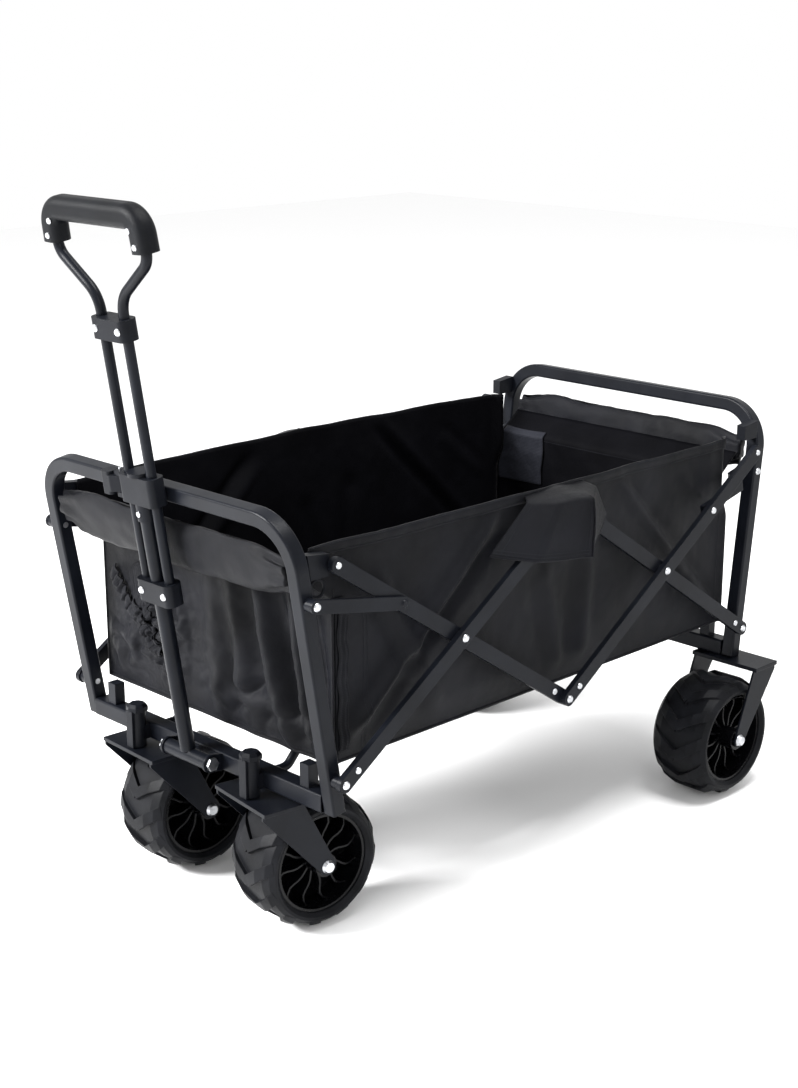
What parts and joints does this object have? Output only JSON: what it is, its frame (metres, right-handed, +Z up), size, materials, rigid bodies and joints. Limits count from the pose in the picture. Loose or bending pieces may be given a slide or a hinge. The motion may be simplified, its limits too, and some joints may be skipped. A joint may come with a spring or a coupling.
{
  "type": "folding camp wagon",
  "caption": "Folding camp wagon: hoop frames joined by side scissors, fabric basket, chunky wheels, swivelling casters, telescoping pull handle.",
  "frame": {"origin": "middle of the bounding box on the ground plane", "axes": "+X from the pull handle end to the rear, +Y to the far side, +Z up"},
  "size_m": [1.0164, 0.608, 0.9221],
  "materials": {
    "steel": "satin black powder coat",
    "zinc": "bright zinc plated",
    "plastic": "matte black moulded",
    "grip": "fine textured black",
    "rim": "matte black moulded",
    "tyre": "moulded black",
    "fabric": "coated woven polyester"
  },
  "bodies": {
    "rear_frame": {"rear_hoop": "steel", "rear_rail": "steel", "rear_forks": "steel", "rear_axles": "zinc", "rear_rivets": "zinc", "rear_corner_blocks": "plastic", "rear_panel": "fabric", "side_panel_near": "fabric", "side_panel_far": "fabric", "floor_panel": "fabric", "joint_flaps": "fabric"},
    "front_frame": {"front_hoop": "steel", "front_rail": "steel", "front_rivets": "zinc", "front_corner_blocks": "plastic", "caster_housings": "plastic", "handle_bracket": "steel", "front_panel": "fabric", "front_band": "fabric"},
    "handle_lower": {"handle_centre_tube": "steel", "handle_clamp": "plastic", "clamp_pin": "zinc"},
    "clamp_lever": {"clamp_lever": "plastic"},
    "handle_upper": {"handle_loop": "steel", "slide_collar": "plastic", "handle_yoke": "plastic", "grip": "grip", "handle_rivets": "zinc"},
    "bar_a_near": {"bar_a_near": "steel", "rivets_a_near": "zinc"},
    "bar_b_near": {"bar_b_near": "steel", "rivets_b_near": "zinc"},
    "bar_c_near": {"bar_c_near": "steel", "rivets_c_near": "zinc"},
    "bar_d_near": {"bar_d_near": "steel", "rivets_d_near": "zinc"},
    "link_front_near": {"link_front_near": "steel"},
    "link_rear_near": {"link_rear_near": "steel"},
    "caster_near": {"caster_fork_near": "steel", "caster_axle_near": "zinc"},
    "front_wheel_near": {"front_tyre_near": "tyre", "front_rim_near": "rim"},
    "rear_wheel_near": {"rear_tyre_near": "tyre", "rear_rim_near": "rim"},
    "bar_a_far": {"bar_a_far": "steel", "rivets_a_far": "zinc"},
    "bar_b_far": {"bar_b_far": "steel", "rivets_b_far": "zinc"},
    "bar_c_far": {"bar_c_far": "steel", "rivets_c_far": "zinc"},
    "bar_d_far": {"bar_d_far": "steel", "rivets_d_far": "zinc"},
    "link_front_far": {"link_front_far": "steel"},
    "link_rear_far": {"link_rear_far": "steel"},
    "caster_far": {"caster_fork_far": "steel", "caster_axle_far": "zinc"},
    "front_wheel_far": {"front_tyre_far": "tyre", "front_rim_far": "rim"},
    "rear_wheel_far": {"rear_tyre_far": "tyre", "rear_rim_far": "rim"}
  },
  "joints": [
    {"name": "fold", "type": "hinge", "parent": "rear_frame", "child": "bar_d_near", "pos_m": [0.45617, -0.258, 0.243], "axis": [0, 1, 0], "range_deg": [0, 43.5], "deforming": ["side_panel_near", "side_panel_far", "floor_panel", "joint_flaps"]},
    {"name": "fold_a_near", "type": "hinge", "parent": "bar_d_near", "child": "bar_a_near", "pos_m": [0.04756, -0.258, 0.51345], "axis": [0, 1, 0], "range_deg": [-88, 1]},
    {"name": "fold_front", "type": "hinge", "parent": "bar_a_near", "child": "front_frame", "pos_m": [-0.36104, -0.258, 0.243], "axis": [0, 1, 0], "range_deg": [-1, 44.5]},
    {"name": "fold_c_near", "type": "hinge", "parent": "bar_d_near", "child": "bar_c_near", "pos_m": [0.25186, -0.258, 0.37822], "axis": [0, 1, 0], "range_deg": [-88, 1]},
    {"name": "fold_b_near", "type": "hinge", "parent": "bar_a_near", "child": "bar_b_near", "pos_m": [-0.15674, -0.258, 0.37822], "axis": [0, 1, 0], "range_deg": [-1, 88]},
    {"name": "fold_d_far", "type": "hinge", "parent": "rear_frame", "child": "bar_d_far", "pos_m": [0.45617, 0.258, 0.243], "axis": [0, 1, 0], "range_deg": [-1, 44.5]},
    {"name": "fold_a_far", "type": "hinge", "parent": "bar_d_far", "child": "bar_a_far", "pos_m": [0.04756, 0.258, 0.51345], "axis": [0, 1, 0], "range_deg": [-88, 1]},
    {"name": "fold_c_far", "type": "hinge", "parent": "bar_d_far", "child": "bar_c_far", "pos_m": [0.25186, 0.258, 0.37822], "axis": [0, 1, 0], "range_deg": [-88, 1]},
    {"name": "fold_b_far", "type": "hinge", "parent": "bar_a_far", "child": "bar_b_far", "pos_m": [-0.15674, 0.258, 0.37822], "axis": [0, 1, 0], "range_deg": [-1, 88]},
    {"name": "link_front_near_turn", "type": "hinge", "parent": "front_frame", "child": "link_front_near", "pos_m": [-0.39999, -0.263, 0.473], "axis": [0, 1, 0], "range_deg": [-74.48, 1]},
    {"name": "link_front_far_turn", "type": "hinge", "parent": "front_frame", "child": "link_front_far", "pos_m": [-0.39999, 0.263, 0.473], "axis": [0, 1, 0], "range_deg": [-74.48, 1]},
    {"name": "link_rear_near_turn", "type": "hinge", "parent": "rear_frame", "child": "link_rear_near", "pos_m": [0.487, -0.225, 0.477], "axis": [0, 1, 0], "range_deg": [-1, 79.01]},
    {"name": "link_rear_far_turn", "type": "hinge", "parent": "rear_frame", "child": "link_rear_far", "pos_m": [0.487, 0.225, 0.477], "axis": [0, 1, 0], "range_deg": [-1, 79.01]},
    {"name": "caster_near_swivel", "type": "hinge", "parent": "front_frame", "child": "caster_near", "pos_m": [-0.37994, -0.116, 0.21], "axis": [0, 0, 1], "continuous": true},
    {"name": "front_wheel_near_spin", "type": "hinge", "parent": "caster_near", "child": "front_wheel_near", "pos_m": [-0.30369, -0.12672, 0.09], "axis": [0.1392, 0.9903, 0], "continuous": true},
    {"name": "caster_far_swivel", "type": "hinge", "parent": "front_frame", "child": "caster_far", "pos_m": [-0.37994, 0.116, 0.21], "axis": [0, 0, 1], "continuous": true},
    {"name": "front_wheel_far_spin", "type": "hinge", "parent": "caster_far", "child": "front_wheel_far", "pos_m": [-0.30304, 0.11197, 0.09], "axis": [0.0523, 0.9986, 0], "continuous": true},
    {"name": "rear_wheel_near_spin", "type": "hinge", "parent": "rear_frame", "child": "rear_wheel_near", "pos_m": [0.40506, -0.245, 0.09], "axis": [0, 1, 0], "continuous": true},
    {"name": "rear_wheel_far_spin", "type": "hinge", "parent": "rear_frame", "child": "rear_wheel_far", "pos_m": [0.40506, 0.245, 0.09], "axis": [0, 1, 0], "continuous": true},
    {"name": "handle_swing", "type": "hinge", "parent": "front_frame", "child": "handle_lower", "pos_m": [-0.38594, 0, 0.211], "axis": [0, 1, 0], "range_deg": [-78, 0]},
    {"name": "handle_slide", "type": "slide", "parent": "handle_lower", "child": "handle_upper", "axis": [-0.153, 0, 0.9882], "range_m": [-0.16, 0.078]},
    {"name": "clamp_lever_turn", "type": "hinge", "parent": "handle_lower", "child": "clamp_lever", "pos_m": [-0.44193, 0.041, 0.57269], "axis": [-0.153, 0, 0.9882], "range_deg": [0, 70]}
  ],
  "couplings": [
    {"joint": "fold_a_near", "follows": "fold", "ratio": -2},
    {"joint": "fold_front", "follows": "fold", "ratio": 1},
    {"joint": "fold_c_near", "follows": "fold", "ratio": -2},
    {"joint": "fold_b_near", "follows": "fold", "ratio": 2},
    {"joint": "fold_d_far", "follows": "fold", "ratio": 1},
    {"joint": "fold_a_far", "follows": "fold", "ratio": -2},
    {"joint": "fold_c_far", "follows": "fold", "ratio": -2},
    {"joint": "fold_b_far", "follows": "fold", "ratio": 2},
    {"joint": "link_front_near_turn", "follows": "fold", "ratio": -1.6892},
    {"joint": "link_front_far_turn", "follows": "fold", "ratio": -1.6892},
    {"joint": "link_rear_near_turn", "follows": "fold", "ratio": 1.7934},
    {"joint": "link_rear_far_turn", "follows": "fold", "ratio": 1.7934}
  ]
}
